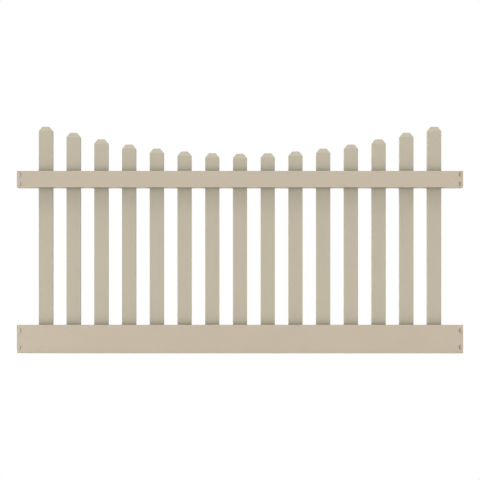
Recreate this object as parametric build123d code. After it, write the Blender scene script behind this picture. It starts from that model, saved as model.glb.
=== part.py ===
from build123d import *
import math
import os

# Scalloped picket panel of a vinyl fence, as it is hung between two posts.
# +X runs along the rails, the front looks towards -Y and +Z is up.
# The origin is the middle of the lower edge of the bottom rail's left end face.

# Driving dimensions, in millimetres and degrees

# Rails: hollow extrusions that the pickets pass through
RAIL_LENGTH = 2388.0
RAIL_DEPTH = 50.8
BOTTOM_RAIL_HEIGHT = 152.4
TOP_RAIL_HEIGHT = 88.9
RAIL_SPACING = 735.0  # clear height between the two rails
RAIL_WALL = 2.3
RAIL_CORNER_RADIUS = 1.5

# Pickets: hollow tubes, evenly spaced along the rails
PICKET_COUNT = 15
PICKET_WIDTH = 76.2
PICKET_DEPTH = 22.2
PICKET_WALL = 1.5
PICKET_CORNER_RADIUS = 1.5
END_SPACE = 114.3  # bare rail from its end to the side of the first picket
SLOT_CLEARANCE = 0.4  # all round a picket in its routed slot

# Scallop: the picket tops follow an arc that is lowest in the middle of the panel
MIDDLE_PICKET_RISE = 94.0  # from the top rail to the lowest point of the arc
END_PICKET_RISE = 239.0  # from the top rail to the tallest pickets
SCALLOP_RADIUS = 3600.0

# Dog-ear caps: moulded shells, flush with the picket, on a spigot inside its tube
CAP_BAND = 2.0  # upright edge between the seam and the slopes
EAR_HEIGHT = 24.0
EAR_WIDTH = 20.0  # how far each clipped corner reaches in
CAP_SETBACK = 1.6  # how far the front and the back lean in
CAP_EDGE_CHAMFER = 1.2
CAP_WALL = 1.8
SEAM_CHAMFER = 0.4
SPIGOT_LENGTH = 16.0
SPIGOT_CLEARANCE = 0.3

# Lock tabs: half-moons lanced out of the rail faces, which catch behind the wall of a post
TAB_CHORD = 28.0
TAB_SAGITTA = 9.5
TAB_ANGLE = 40.0
TAB_SLIT = 1.2  # width of the cut round the free edge
TAB_HINGE_FROM_END = 12.5
TOP_TAB_FROM_EDGE = 19.5  # from the rail's upper and lower edges to a tab's middle
BOTTOM_TAB_FROM_EDGE = 32.0

# Places that follow from the sizes above
TOP_RAIL_BASE = BOTTOM_RAIL_HEIGHT + RAIL_SPACING
TOP_RAIL_TOP = TOP_RAIL_BASE + TOP_RAIL_HEIGHT
PICKET_PITCH = (RAIL_LENGTH - 2 * END_SPACE - PICKET_WIDTH) / (PICKET_COUNT - 1)
FIRST_PICKET_X = END_SPACE + PICKET_WIDTH / 2
PICKET_PLACES = [FIRST_PICKET_X + i * PICKET_PITCH for i in range(PICKET_COUNT)]
CAP_HEIGHT = CAP_BAND + EAR_HEIGHT


def tube_section(width, depth, corner_radius, wall):
    """The section of a hollow extrusion: round outside corners and a square bore."""
    return RectangleRounded(width, depth, corner_radius) - Rectangle(width - 2 * wall, depth - 2 * wall)


def clipped_section(width, depth, corner_radius):
    """A rectangle whose corners are cut off straight, as deep as a round corner of the radius would be."""
    outline = Rectangle(width, depth)
    return chamfer(outline.vertices(), corner_radius * (2 - math.sqrt(2)))


def scallop_top(x):
    """Height of the top of a picket whose middle is at x."""
    offset = x - RAIL_LENGTH / 2
    arc_rise = SCALLOP_RADIUS - math.sqrt(SCALLOP_RADIUS**2 - offset**2)
    return TOP_RAIL_TOP + min(MIDDLE_PICKET_RISE + arc_rise, END_PICKET_RISE)


def half_moon(chord, sagitta):
    """A segment of a circle: the straight edge lies on local Y and the round edge bulges along +X."""
    straight = Line((0, -chord / 2), (0, chord / 2))
    arc = ThreePointArc((0, chord / 2), (sagitta, 0), (0, -chord / 2))
    return make_face([straight, arc])


def on_four_sides(shape):
    """A shape at the front of the left end, repeated at the back and at the right end."""
    middle = Plane.YZ.offset(RAIL_LENGTH / 2)
    left = [shape, mirror(shape, about=Plane.XZ)]
    right = [mirror(copy, about=middle) for copy in left]
    return left + right


def add_lock_tabs(rail, heights):
    """Lance a half-moon tab out of both faces at both ends of a rail, at each of the heights."""
    inner_face = RAIL_WALL - RAIL_DEPTH / 2
    windows = []
    tabs = []
    for height in heights:
        hinge = Plane((TAB_HINGE_FROM_END, inner_face, height), x_dir=(1, 0, 0), z_dir=(0, -1, 0))
        cut = half_moon(TAB_CHORD + 2 * TAB_SLIT, TAB_SAGITTA + TAB_SLIT)
        windows += on_four_sides(extrude(hinge * cut, RAIL_WALL))
        tab = extrude(hinge * half_moon(TAB_CHORD, TAB_SAGITTA), RAIL_WALL)
        tabs += on_four_sides(tab.rotate(Axis(hinge.origin, (0, 0, 1)), -TAB_ANGLE))
    return rail - windows + tabs


def rail_tube(base, height):
    """A bare hollow rail that lies along X, with its underside at the base."""
    section = tube_section(RAIL_DEPTH, height, RAIL_CORNER_RADIUS, RAIL_WALL)
    return extrude(Plane.YZ * Pos(0, base + height / 2) * section, RAIL_LENGTH)


def picket_slots(base, height):
    """Cutters for the routed slots of all the pickets, from the base upwards."""
    width = PICKET_WIDTH + 2 * SLOT_CLEARANCE
    depth = PICKET_DEPTH + 2 * SLOT_CLEARANCE
    slot = clipped_section(width, depth, PICKET_CORNER_RADIUS + SLOT_CLEARANCE)
    return [extrude(Pos(x, 0, base) * slot, height) for x in PICKET_PLACES]


def bottom_rail():
    """The taller rail: the pickets enter its top wall and stand on its floor."""
    rail = rail_tube(0, BOTTOM_RAIL_HEIGHT)
    rail -= picket_slots(BOTTOM_RAIL_HEIGHT - RAIL_WALL, RAIL_WALL)
    return add_lock_tabs(rail, [BOTTOM_TAB_FROM_EDGE, BOTTOM_RAIL_HEIGHT - BOTTOM_TAB_FROM_EDGE])


def top_rail():
    """The rail that the pickets pass right through."""
    rail = rail_tube(TOP_RAIL_BASE, TOP_RAIL_HEIGHT)
    rail -= picket_slots(TOP_RAIL_BASE, TOP_RAIL_HEIGHT)
    return add_lock_tabs(rail, [TOP_RAIL_BASE + TOP_TAB_FROM_EDGE, TOP_RAIL_TOP - TOP_TAB_FROM_EDGE])


def picket(x):
    """A picket's tube, from the floor of the bottom rail to the seam under its cap."""
    seam = scallop_top(x) - CAP_HEIGHT
    section = tube_section(PICKET_WIDTH, PICKET_DEPTH, PICKET_CORNER_RADIUS, PICKET_WALL)
    return extrude(Pos(x, 0, RAIL_WALL) * section, seam - RAIL_WALL)


def hipped_block(section, base, shoulder, top, ear, setback):
    """An upright block whose ends lean in by ear, and whose front and back by setback, above the shoulder."""
    block = extrude(Pos(0, 0, base) * section, top - base)
    foot = section.bounding_box().max
    slope = top - shoulder
    for side in (-1, 1):
        end_slope = Plane((side * foot.X, 0, shoulder), z_dir=(side * slope, 0, ear))
        face_slope = Plane((0, side * foot.Y, shoulder), z_dir=(0, side * slope, setback))
        block = split(block, bisect_by=end_slope, keep=Keep.BOTTOM)
        block = split(block, bisect_by=face_slope, keep=Keep.BOTTOM)
    return block


def cap_head():
    """The solid form of a cap above its seam, which lies at z = 0."""
    section = clipped_section(PICKET_WIDTH, PICKET_DEPTH, PICKET_CORNER_RADIUS)
    head = hipped_block(section, 0, CAP_BAND, CAP_HEIGHT, EAR_WIDTH, CAP_SETBACK)
    head = chamfer(head.faces().sort_by(Axis.Z)[-1].edges(), CAP_EDGE_CHAMFER)
    return chamfer(head.faces().sort_by(Axis.Z)[0].edges(), SEAM_CHAMFER)


def cap():
    """A hollow dog-ear cap with its spigot, with the seam at z = 0."""
    fit = PICKET_WALL + SPIGOT_CLEARANCE
    inset = fit + CAP_WALL
    spigot = Rectangle(PICKET_WIDTH - 2 * fit, PICKET_DEPTH - 2 * fit)
    bore = Rectangle(PICKET_WIDTH - 2 * inset, PICKET_DEPTH - 2 * inset)
    roof = CAP_HEIGHT - CAP_WALL
    hollow = hipped_block(bore, -SPIGOT_LENGTH, CAP_BAND, roof, EAR_WIDTH - fit, CAP_SETBACK)
    return cap_head() + extrude(spigot, -SPIGOT_LENGTH) - hollow


def panel_pieces():
    """Every piece of the panel in its place, by name, with the pickets from left to right."""
    pieces = {"bottom_rail": bottom_rail(), "top_rail": top_rail()}
    dog_ear = cap()
    for number, x in enumerate(PICKET_PLACES, start=1):
        seam = scallop_top(x) - CAP_HEIGHT
        pieces[f"picket_{number:02d}"] = picket(x)
        pieces[f"picket_cap_{number:02d}"] = Pos(x, 0, seam) * dog_ear
    return pieces


os.makedirs("parts", exist_ok=True)
for name, shape in panel_pieces().items():
    export_step(shape, f"parts/{name}.step")
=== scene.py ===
import math

import bmesh
import bpy
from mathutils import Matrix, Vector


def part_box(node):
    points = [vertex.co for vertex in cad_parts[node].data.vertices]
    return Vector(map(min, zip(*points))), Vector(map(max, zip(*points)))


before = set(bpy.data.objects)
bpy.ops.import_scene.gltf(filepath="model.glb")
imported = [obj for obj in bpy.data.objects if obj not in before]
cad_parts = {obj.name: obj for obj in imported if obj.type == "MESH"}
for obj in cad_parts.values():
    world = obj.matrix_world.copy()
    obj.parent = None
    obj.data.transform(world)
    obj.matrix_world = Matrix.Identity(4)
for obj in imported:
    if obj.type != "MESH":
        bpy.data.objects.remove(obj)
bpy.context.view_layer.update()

# The panel's places, read from the frame, in metres
BOTTOM_LOW, BOTTOM_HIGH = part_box("bottom_rail")
TOP_LOW, TOP_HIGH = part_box("top_rail")
FIRST_LOW, FIRST_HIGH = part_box("picket_01")
SECOND_LOW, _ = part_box("picket_02")
PANEL_MIDDLE = BOTTOM_HIGH[0] / 2
PICKET_PITCH = SECOND_LOW[0] - FIRST_LOW[0]
PICKET_HALF_WIDTH = (FIRST_HIGH[0] - FIRST_LOW[0]) / 2
FIRST_PICKET = FIRST_LOW[0] + PICKET_HALF_WIDTH

# The rails' faces and the lock tabs that are lanced out of them, in metres
RAIL_HALF_DEPTH = 0.0254
TAB_HINGE_FROM_END = 0.0125
TAB_HALF_CHORD = 0.014
TAB_SAGITTA = 0.0095
TOP_TAB_FROM_EDGE = 0.0195
BOTTOM_TAB_FROM_EDGE = 0.032

# Vinyl colours, linear: the skin of each piece, the core of the rails, and the pale line where a tab is bent
RAIL_VINYL = (0.533, 0.462, 0.36)
# The pickets' colour is the rails' vinyl made a little darker, partly its own tone and partly painted shade
# for the pickets' place set back between the rails
SHADED_PICKET_VINYL = (0.502, 0.456, 0.3495)
CAP_VINYL = (0.53, 0.485, 0.375)
CORE_VINYL = (0.47, 0.41, 0.315)
BENT_VINYL = (0.64, 0.585, 0.475)
BENT_PALENESS = 0.3

# Where those colours end, in metres: the skin and the core below a face, the pale line to either side of a
# hinge, from nothing to its full strength, and the same past and short of the ends of the tab's chord
SKIN_DEPTH, CORE_DEPTH = 0.0004, 0.0006
BENT_EDGE, BENT_FULL = 0.0015, 0.0003
PAST_CHORD, SHORT_OF_CHORD = 0.001, 0.003

# Axes that the extrusions run along
ALONG_RAIL = 0
ALONG_PICKET = 2

# Grain of the vinyl: patterns per metre, and how far they move the tone
MOTTLE_SCALE = 5.0
CAP_MOTTLE_SCALE = 22.0
DIE_LINE_SCALE = 420.0
DIE_LINE_STRETCH = 0.004
DIE_LINE_HARSHNESS = 0.6
GRAIN_SCALE = 1400.0
FINE_DETAIL = 3.0
MOTTLE_TONE = 0.05
DIE_LINE_TONE = 0.03

# Gloss and relief of the extruded rails and pickets, and of the moulded caps
SPECULAR_LEVEL = 0.3
EXTRUDED_ROUGHNESS = 0.5
DIE_LINE_ROUGHNESS = 0.1
GRAIN_ROUGHNESS = 0.06
DIE_LINE_SHARE = 0.6
EXTRUDED_BUMP, EXTRUDED_RELIEF = 0.06, 0.0004
MOULDED_ROUGHNESS = 0.52
MOULDED_GRAIN_ROUGHNESS = 0.08
MOULDED_BUMP, MOULDED_RELIEF = 0.08, 0.0003

# Shades painted into the base colours at the joints, each with its depth and its length: on a picket close
# above a rail and further up, on a picket close under the top rail and further down, on a rail beside a
# picket, and on the tabs
FOOT_SHADE, FOOT_LENGTH = 0.375, 0.018
SHIN_SHADE, SHIN_LENGTH = 0.06, 0.09
CHEST_SHADE, CHEST_LENGTH = 0.125, 0.17
WAIST_SHADE, WAIST_LENGTH = 0.065, 0.2
BESIDE_SHADE, BESIDE_LENGTH = 0.4, 0.014
TAB_SHADE = 0.12
SHADE_EDGE = 0.001
BESIDE_EDGE = 0.002

# View: the picture's width and middle at the front of the rails
FRAME_WIDTH = 2.568
FRAME_MIDDLE_HEIGHT = 0.606
CAMERA_DISTANCE = 5.9
CAMERA_HEIGHT = 0.205
SENSOR_WIDTH = 36.0

# Floor: how grey it is to the light that it sends back, near the panel and far from it, how white it looks
# near the panel, and the distances between which it goes from near to far
FLOOR_SIZE = 80.0
FLOOR_DROP = 0.0005
FLOOR_GREY_NEAR = 0.755
FLOOR_GREY_FAR = 0.66
FLOOR_WHITE = 0.92
FLOOR_NEAR = 0.1
FLOOR_FAR = 0.8

# Light: the surround, and two lamps that each reach from one y to another
SKY_LEVEL = 1.09
SKY_LEFT_BIAS = 1.25
LAMP_HEIGHT = 5.0
LAMP_LENGTH = 13.0
STRIP_BACK, STRIP_FRONT, STRIP_LEVEL = -0.02, -0.6, 5.0
BANK_BACK, BANK_FRONT, BANK_LEVEL = -0.6, -4.8, 0.2


class Wire:
    """A socket of a node tree. Arithmetic on it adds Math nodes, and node() adds any other node."""

    def __init__(self, tree, socket):
        self.tree = tree
        self.socket = socket

    def node(self, kind, settings=None, sockets=None, output=0):
        """A new node: its settings are set first, then the values or wires of its sockets."""
        made = self.tree.nodes.new(kind)
        for name, value in (settings or {}).items():
            setattr(made, name, value)
        for name, value in (sockets or {}).items():
            if isinstance(value, Wire):
                self.tree.links.new(value.socket, made.inputs[name])
            else:
                made.inputs[name].default_value = value
        return Wire(self.tree, made.outputs[output])

    def math(self, operation, *values):
        return self.node("ShaderNodeMath", {"operation": operation}, dict(enumerate(values)))

    def __add__(self, other):
        return self.math("ADD", self, other)

    def __radd__(self, other):
        return self.math("ADD", other, self)

    def __sub__(self, other):
        return self.math("SUBTRACT", self, other)

    def __rsub__(self, other):
        return self.math("SUBTRACT", other, self)

    def __mul__(self, other):
        return self.math("MULTIPLY", self, other)

    def __rmul__(self, other):
        return self.math("MULTIPLY", other, self)

    def __abs__(self):
        return self.math("ABSOLUTE", self)

    def larger(self, other):
        return self.math("MAXIMUM", self, other)

    def smaller(self, other):
        return self.math("MINIMUM", self, other)

    def fade(self, start, end):
        """A smooth step from 0 at start to 1 at end, where end may be the lower one."""
        sockets = {"Value": self, "From Min": start, "From Max": end}
        return self.node("ShaderNodeMapRange", {"interpolation_type": "SMOOTHSTEP"}, sockets)

    def decay(self, length):
        """1 at zero and below, and an e-th of it for each length further on."""
        return self.math("EXPONENT", self.larger(0.0) * (-1.0 / length))

    def axes(self):
        """The X, Y and Z of a vector."""
        parts = self.node("ShaderNodeSeparateXYZ", None, {"Vector": self}).socket.node.outputs
        return [Wire(self.tree, part) for part in parts]

    def feed(self, shader, socket):
        self.tree.links.new(self.socket, shader.inputs[socket])


def opaque(colour):
    return (*colour, 1.0)


def grey(level):
    return (level, level, level, 1.0)


def mix_colour(factor, first, second):
    """Goes from the first colour to the second. A Mix node's colour sockets are its inputs 6 and 7."""
    return factor.node("ShaderNodeMix", {"data_type": "RGBA"}, {0: factor, 6: first, 7: second}, 2)


def toned(colour, tone):
    """A colour made lighter or darker by a wire."""
    return tone.node("ShaderNodeVectorMath", {"operation": "SCALE"}, {0: colour, "Scale": tone})


def noise(place, scale, detail=2.0, roughness=0.5):
    sockets = {"Vector": place, "Scale": scale, "Detail": detail, "Roughness": roughness}
    return place.node("ShaderNodeTexNoise", None, sockets)


def swing(pattern, amount):
    """A noise, which lies about a half, as a swing about zero."""
    return (pattern - 0.5) * amount


def drawn_out(place, axis):
    """Coordinates stretched along one axis, for marks that run the length of an extrusion."""
    scale = [1.0, 1.0, 1.0]
    scale[axis] = DIE_LINE_STRETCH
    return place.node("ShaderNodeMapping", None, {"Vector": place, "Scale": scale})


def new_material(name):
    """A new material, its Principled shader, and a wire to start its other nodes from."""
    material = bpy.data.materials.new(name)
    material.use_nodes = True
    shader = material.node_tree.nodes["Principled BSDF"]
    return material, shader, Wire(material.node_tree, shader.outputs[0])


def object_place(start):
    return start.node("ShaderNodeTexCoord", None, None, "Object")


def bump(height, strength, distance):
    sockets = {"Height": height, "Strength": strength, "Distance": distance}
    return height.node("ShaderNodeBump", None, sockets)


def extruded_grain(place, axis, shader):
    """The surface of an extrusion: faint die lines along it and a fine grain. Returns its tone."""
    mottle = noise(place, MOTTLE_SCALE, FINE_DETAIL)
    lines = noise(drawn_out(place, axis), DIE_LINE_SCALE, FINE_DETAIL, DIE_LINE_HARSHNESS)
    grain = noise(place, GRAIN_SCALE)
    relief = lines * DIE_LINE_SHARE + grain * (1.0 - DIE_LINE_SHARE)
    bump(relief, EXTRUDED_BUMP, EXTRUDED_RELIEF).feed(shader, "Normal")
    roughness = EXTRUDED_ROUGHNESS + swing(lines, DIE_LINE_ROUGHNESS) + swing(grain, GRAIN_ROUGHNESS)
    roughness.feed(shader, "Roughness")
    shader.inputs["Specular IOR Level"].default_value = SPECULAR_LEVEL
    return 1.0 + swing(mottle, MOTTLE_TONE) + swing(lines, DIE_LINE_TONE)


def shade_beside_pickets(x, from_end, from_face):
    """The shade on a rail's upper and lower walls, darkest at the pickets."""
    between = x.math("PINGPONG", x - FIRST_PICKET, PICKET_PITCH / 2)
    from_picket = between.larger(FIRST_PICKET - from_end) - PICKET_HALF_WIDTH
    return BESIDE_SHADE * from_picket.decay(BESIDE_LENGTH) * from_face.fade(0.0, BESIDE_EDGE)


def shade_on_tabs(past_hinge, from_tab):
    """The shade on the lock tabs, which ends at their hinge and at their round edge."""
    bow = TAB_SAGITTA * (1.0 - from_tab * from_tab * TAB_HALF_CHORD**-2)
    return TAB_SHADE * past_hinge.smaller(bow - past_hinge).fade(0.0, SHADE_EDGE)


def bent_line(past_hinge, from_tab):
    """How pale a rail is along the hinges of the lock tabs."""
    across = abs(past_hinge).fade(BENT_EDGE, BENT_FULL)
    along = from_tab.fade(TAB_HALF_CHORD + PAST_CHORD, TAB_HALF_CHORD - SHORT_OF_CHORD)
    return BENT_PALENESS * across * along


def rail_vinyl(name, low, high, tab_from_edge):
    """A rail's finish: extruded vinyl with a darker core, painted shade beside the pickets and on the lock
    tabs, and a pale line at the hinges of the lock tabs.
    """
    material, shader, start = new_material(name)
    place = object_place(start)
    tone = extruded_grain(place, ALONG_RAIL, shader)
    x, y, z = place.axes()
    half_height = (high[2] - low[2]) / 2
    from_middle = abs(z - (low[2] + high[2]) / 2)
    from_face = RAIL_HALF_DEPTH - abs(y)
    from_end = PANEL_MIDDLE - abs(x - PANEL_MIDDLE)
    past_hinge = from_end - TAB_HINGE_FROM_END
    from_tab = abs(from_middle - (half_height - tab_from_edge))
    shade = shade_beside_pickets(x, from_end, from_face) + shade_on_tabs(past_hinge, from_tab)
    unbent = toned(RAIL_VINYL, tone * (1.0 - shade))
    skin = mix_colour(bent_line(past_hinge, from_tab), unbent, opaque(BENT_VINYL))
    core = from_face.smaller(half_height - from_middle).fade(SKIN_DEPTH, CORE_DEPTH)
    mix_colour(core, skin, toned(CORE_VINYL, tone)).feed(shader, "Base Color")
    return material


def shade_above(distance):
    """The shade on a picket at a distance above a rail."""
    shade = FOOT_SHADE * distance.decay(FOOT_LENGTH) + SHIN_SHADE * distance.decay(SHIN_LENGTH)
    return shade * distance.fade(-SHADE_EDGE, 0.0)


def shade_below(distance):
    """The shade on a picket at a distance below the top rail."""
    shade = CHEST_SHADE * distance.fade(CHEST_LENGTH, 0.0) + WAIST_SHADE * distance.decay(WAIST_LENGTH)
    return shade * distance.fade(-SHADE_EDGE, 0.0)


def picket_vinyl(name):
    """A picket's finish: extruded vinyl, its colour a little darker than the rails' as partly painted shade,
    with a soft painted shade where it enters the rails.
    """
    material, shader, start = new_material(name)
    place = object_place(start)
    tone = extruded_grain(place, ALONG_PICKET, shader)
    _, _, z = place.axes()
    shade = shade_above(z - BOTTOM_HIGH[2]) + shade_above(z - TOP_HIGH[2]) + shade_below(TOP_LOW[2] - z)
    toned(SHADED_PICKET_VINYL, tone * (1.0 - shade)).feed(shader, "Base Color")
    return material


def cap_vinyl(name):
    """A cap's finish: moulded, so with a fine even grain and no die lines."""
    material, shader, start = new_material(name)
    place = object_place(start)
    mottle = noise(place, CAP_MOTTLE_SCALE, FINE_DETAIL)
    grain = noise(place, GRAIN_SCALE, FINE_DETAIL)
    toned(CAP_VINYL, 1.0 + swing(mottle, MOTTLE_TONE)).feed(shader, "Base Color")
    bump(grain, MOULDED_BUMP, MOULDED_RELIEF).feed(shader, "Normal")
    (MOULDED_ROUGHNESS + swing(grain, MOULDED_GRAIN_ROUGHNESS)).feed(shader, "Roughness")
    shader.inputs["Specular IOR Level"].default_value = SPECULAR_LEVEL
    return material


def dress_panel():
    """Gives every piece of the panel its finish."""
    rails = {
        "top_rail": rail_vinyl("top_rail_vinyl", TOP_LOW, TOP_HIGH, TOP_TAB_FROM_EDGE),
        "bottom_rail": rail_vinyl("bottom_rail_vinyl", BOTTOM_LOW, BOTTOM_HIGH, BOTTOM_TAB_FROM_EDGE),
    }
    pickets = picket_vinyl("drawn_picket_vinyl")
    caps = cap_vinyl("moulded_cap_vinyl")
    for name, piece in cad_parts.items():
        finish = caps if name.startswith("picket_cap") else rails.get(name, pickets)
        piece.data.materials.clear()
        piece.data.materials.append(finish)


def seen_directly(start):
    """1 for rays from the camera and for mirrored and refracted ones, which all see the same white."""
    kinds = ("Is Camera Ray", "Is Glossy Ray", "Is Transmission Ray")
    camera, glossy, transmission = [start.node("ShaderNodeLightPath", None, None, kind) for kind in kinds]
    return camera.larger(glossy).larger(transmission)


def white_sky():
    """A soft white surround that lights the left sides of the pickets more than the right ones."""
    world = bpy.data.worlds.new("studio")
    world.use_nodes = True
    bpy.context.scene.world = world
    background = world.node_tree.nodes["Background"]
    start = Wire(world.node_tree, background.outputs[0])
    x, _, _ = start.node("ShaderNodeTexCoord", None, None, "Generated").axes()
    level = SKY_LEVEL * (1.0 - SKY_LEFT_BIAS * x).larger(0.0)
    (level + seen_directly(start) * (1.0 - level)).feed(background, "Strength")
    background.inputs["Color"].default_value = grey(1.0)


def floor_paint():
    """A pale floor that shows the shadow close to the panel and runs out to plain white further off."""
    material, shader, start = new_material("floor_paint")
    x, y, _ = object_place(start).axes()
    seen = seen_directly(start)
    away = (abs(x - PANEL_MIDDLE) - PANEL_MIDDLE).larger(abs(y))
    far = away.fade(FLOOR_NEAR, FLOOR_FAR)
    sent_back = mix_colour(far, grey(FLOOR_GREY_NEAR), grey(FLOOR_GREY_FAR))
    mix_colour(seen, sent_back, grey(FLOOR_WHITE)).feed(shader, "Base Color")
    shader.inputs["Roughness"].default_value = 1.0
    shader.inputs["Specular IOR Level"].default_value = 0.0
    plain = start.node("ShaderNodeEmission", None, {"Color": grey(1.0), "Strength": 1.0})
    blend = start.node("ShaderNodeMixShader", None, {0: seen * far, 1: start, 2: plain})
    blend.feed(material.node_tree.nodes["Material Output"], "Surface")
    return material


def pale_floor():
    """The floor that the panel stands on."""
    shape = bmesh.new()
    bmesh.ops.create_grid(shape, x_segments=1, y_segments=1, size=FLOOR_SIZE / 2)
    bmesh.ops.translate(shape, verts=shape.verts, vec=(PANEL_MIDDLE, 0.0, BOTTOM_LOW[2] - FLOOR_DROP))
    mesh = bpy.data.meshes.new("floor")
    shape.to_mesh(mesh)
    shape.free()
    mesh.materials.append(floor_paint())
    floor = bpy.data.objects.new("floor", mesh)
    bpy.context.scene.collection.objects.link(floor)


def overhead_lamp(name, back, front, level):
    """A long lamp that faces down. Its power grows with its area, so that level sets its brightness."""
    lamp = bpy.data.lights.new(name, "AREA")
    lamp.shape = "RECTANGLE"
    lamp.size = LAMP_LENGTH
    lamp.size_y = back - front
    lamp.energy = math.pi * lamp.size * lamp.size_y * level
    holder = bpy.data.objects.new(name, lamp)
    holder.location = (PANEL_MIDDLE, (back + front) / 2, LAMP_HEIGHT)
    bpy.context.scene.collection.objects.link(holder)


def studio():
    """Soft light all round, and lamps overhead in front of the panel."""
    white_sky()
    pale_floor()
    overhead_lamp("overhead_strip", STRIP_BACK, STRIP_FRONT, STRIP_LEVEL)
    overhead_lamp("overhead_bank", BANK_BACK, BANK_FRONT, BANK_LEVEL)


def camera():
    """A level camera square to the panel, low down, with the shift that raises the picture's middle."""
    optics = bpy.data.cameras.new("camera")
    optics.sensor_width = SENSOR_WIDTH
    optics.lens = SENSOR_WIDTH * CAMERA_DISTANCE / FRAME_WIDTH
    optics.shift_y = (FRAME_MIDDLE_HEIGHT - CAMERA_HEIGHT) / FRAME_WIDTH
    optics.clip_end = FLOOR_SIZE
    view = bpy.data.objects.new("camera", optics)
    view.location = (PANEL_MIDDLE, -RAIL_HALF_DEPTH - CAMERA_DISTANCE, CAMERA_HEIGHT)
    view.rotation_euler = (math.pi / 2, 0.0, 0.0)
    bpy.context.scene.collection.objects.link(view)
    bpy.context.scene.camera = view


dress_panel()
studio()
camera()
bpy.context.scene.view_settings.view_transform = "Standard"
